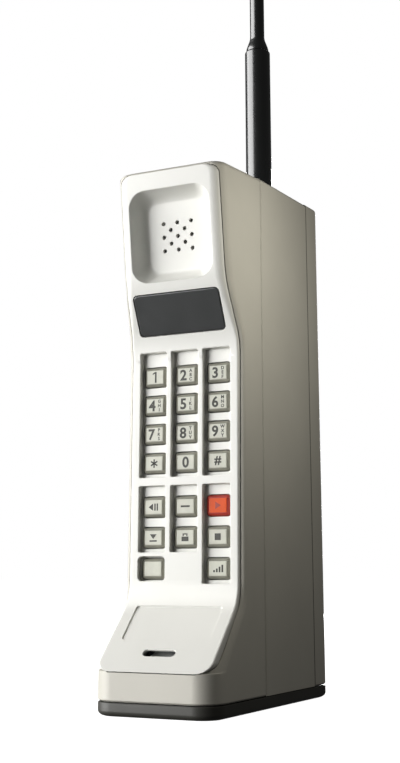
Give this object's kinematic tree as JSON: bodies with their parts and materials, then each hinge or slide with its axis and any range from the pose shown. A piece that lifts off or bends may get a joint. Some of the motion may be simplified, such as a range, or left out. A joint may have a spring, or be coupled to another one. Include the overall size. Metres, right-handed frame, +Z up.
{
  "type": "early mobile phone",
  "caption": "Tall brick-shaped hand telephone with a sloping keypad front, sunk display and ear cup, slide-off battery pack at the back and a rod aerial on top.",
  "frame": {"origin": "the middle of the underside of the base, under the middle of the body", "axes": "+X to the right as the keypad is seen, +Y from the keypad towards the battery pack, +Z up along the aerial"},
  "size_m": [0.0446, 0.0948, 0.3301],
  "materials": {
    "cream_plastic": "moulded off-white, fine satin",
    "taupe_plastic": "moulded taupe, fine texture",
    "base_plastic": "moulded dark brown-grey",
    "key_plastic": "moulded warm grey with dark printing",
    "red_plastic": "moulded orange-red",
    "smoked_lens": "smoked, lightly polished",
    "black_gloss": "glossy black",
    "black_rubber": "matt",
    "board_green": "solder resist",
    "steel": "plated",
    "brass": "turned",
    "aluminium": "milled",
    "cell_wrap": "steel can in a blue sleeve",
    "led_red": "dark red, moulded"
  },
  "bodies": {
    "phone": {"front_shell": "taupe_plastic", "mid_shell": "taupe_plastic", "base_cap": "base_plastic", "faceplate": "cream_plastic", "display_lens": "smoked_lens", "led_display": "led_red", "keypad_mat": "black_rubber", "keypad_board": "board_green", "earpiece_gasket": "black_rubber", "earpiece_receiver": "steel", "microphone_boot": "black_rubber", "microphone": "aluminium", "housing_screw_1": "steel", "housing_screw_2": "steel", "housing_screw_3": "steel", "housing_screw_4": "steel", "logic_board": "board_green", "radio_board": "board_green", "radio_shield": "steel", "duplexer": "aluminium", "aerial_socket": "brass", "aerial_coax": "black_rubber", "body_contact_minus": "brass", "body_contact_plus": "brass"},
    "battery": {"battery_case": "taupe_plastic", "battery_lid": "taupe_plastic", "pack_terminal_minus": "brass", "pack_terminal_plus": "brass", "catch_spring": "steel", "battery_cell_1": "cell_wrap", "battery_cell_2": "cell_wrap", "battery_cell_3": "cell_wrap", "battery_cell_4": "cell_wrap", "battery_cell_5": "cell_wrap", "battery_cell_6": "cell_wrap"},
    "catch": {"battery_catch": "taupe_plastic"},
    "aerial": {"aerial_sleeve": "black_gloss", "aerial_whip": "black_gloss"},
    "key_1": {"key_1": "key_plastic"},
    "key_2": {"key_2": "key_plastic"},
    "key_3": {"key_3": "key_plastic"},
    "key_4": {"key_4": "key_plastic"},
    "key_5": {"key_5": "key_plastic"},
    "key_6": {"key_6": "key_plastic"},
    "key_7": {"key_7": "key_plastic"},
    "key_8": {"key_8": "key_plastic"},
    "key_9": {"key_9": "key_plastic"},
    "key_star": {"key_star": "key_plastic"},
    "key_0": {"key_0": "key_plastic"},
    "key_hash": {"key_hash": "key_plastic"},
    "key_recall": {"key_recall": "key_plastic"},
    "key_clear": {"key_clear": "key_plastic"},
    "key_send": {"key_send": "red_plastic"},
    "key_store": {"key_store": "key_plastic"},
    "key_lock": {"key_lock": "key_plastic"},
    "key_end": {"key_end": "key_plastic"},
    "key_power": {"key_power": "key_plastic"},
    "key_volume": {"key_volume": "key_plastic"}
  },
  "joints": [
    {"name": "battery_slide", "type": "slide", "parent": "phone", "child": "battery", "axis": [0, 0, 1], "range_m": [0, 0.007]},
    {"name": "catch_slide", "type": "slide", "parent": "battery", "child": "catch", "axis": [0, 0, -1], "range_m": [0, 0.0025], "stiffness_N_per_m": 500, "deforming": ["catch_spring"]},
    {"name": "aerial_turn", "type": "hinge", "parent": "phone", "child": "aerial", "pos_m": [0.0096, 0.0189, 0.1847], "axis": [0, 0, 1], "continuous": true},
    {"name": "key_1_press", "type": "slide", "parent": "phone", "child": "key_1", "axis": [0, 0.9999, -0.0127], "range_m": [0, 0.001], "stiffness_N_per_m": 700},
    {"name": "key_2_press", "type": "slide", "parent": "phone", "child": "key_2", "axis": [0, 0.9999, -0.0127], "range_m": [0, 0.001], "stiffness_N_per_m": 700},
    {"name": "key_3_press", "type": "slide", "parent": "phone", "child": "key_3", "axis": [0, 0.9999, -0.0127], "range_m": [0, 0.001], "stiffness_N_per_m": 700},
    {"name": "key_4_press", "type": "slide", "parent": "phone", "child": "key_4", "axis": [0, 0.9999, -0.0127], "range_m": [0, 0.001], "stiffness_N_per_m": 700},
    {"name": "key_5_press", "type": "slide", "parent": "phone", "child": "key_5", "axis": [0, 0.9999, -0.0127], "range_m": [0, 0.001], "stiffness_N_per_m": 700},
    {"name": "key_6_press", "type": "slide", "parent": "phone", "child": "key_6", "axis": [0, 0.9999, -0.0127], "range_m": [0, 0.001], "stiffness_N_per_m": 700},
    {"name": "key_7_press", "type": "slide", "parent": "phone", "child": "key_7", "axis": [0, 0.9999, -0.0127], "range_m": [0, 0.001], "stiffness_N_per_m": 700},
    {"name": "key_8_press", "type": "slide", "parent": "phone", "child": "key_8", "axis": [0, 0.9999, -0.0127], "range_m": [0, 0.001], "stiffness_N_per_m": 700},
    {"name": "key_9_press", "type": "slide", "parent": "phone", "child": "key_9", "axis": [0, 0.9999, -0.0127], "range_m": [0, 0.001], "stiffness_N_per_m": 700},
    {"name": "key_star_press", "type": "slide", "parent": "phone", "child": "key_star", "axis": [0, 0.9999, -0.0127], "range_m": [0, 0.001], "stiffness_N_per_m": 700},
    {"name": "key_0_press", "type": "slide", "parent": "phone", "child": "key_0", "axis": [0, 0.9999, -0.0127], "range_m": [0, 0.001], "stiffness_N_per_m": 700},
    {"name": "key_hash_press", "type": "slide", "parent": "phone", "child": "key_hash", "axis": [0, 0.9999, -0.0127], "range_m": [0, 0.001], "stiffness_N_per_m": 700},
    {"name": "key_recall_press", "type": "slide", "parent": "phone", "child": "key_recall", "axis": [0, 0.9999, -0.0127], "range_m": [0, 0.001], "stiffness_N_per_m": 700},
    {"name": "key_clear_press", "type": "slide", "parent": "phone", "child": "key_clear", "axis": [0, 0.9999, -0.0127], "range_m": [0, 0.001], "stiffness_N_per_m": 700},
    {"name": "key_send_press", "type": "slide", "parent": "phone", "child": "key_send", "axis": [0, 0.9999, -0.0127], "range_m": [0, 0.001], "stiffness_N_per_m": 700},
    {"name": "key_store_press", "type": "slide", "parent": "phone", "child": "key_store", "axis": [0, 0.9999, -0.0127], "range_m": [0, 0.001], "stiffness_N_per_m": 700},
    {"name": "key_lock_press", "type": "slide", "parent": "phone", "child": "key_lock", "axis": [0, 0.9999, -0.0127], "range_m": [0, 0.001], "stiffness_N_per_m": 700},
    {"name": "key_end_press", "type": "slide", "parent": "phone", "child": "key_end", "axis": [0, 0.9999, -0.0127], "range_m": [0, 0.001], "stiffness_N_per_m": 700},
    {"name": "key_power_press", "type": "slide", "parent": "phone", "child": "key_power", "axis": [0, 0.9999, -0.0127], "range_m": [0, 0.001], "stiffness_N_per_m": 700},
    {"name": "key_volume_press", "type": "slide", "parent": "phone", "child": "key_volume", "axis": [0, 0.9999, -0.0127], "range_m": [0, 0.001], "stiffness_N_per_m": 700}
  ]
}
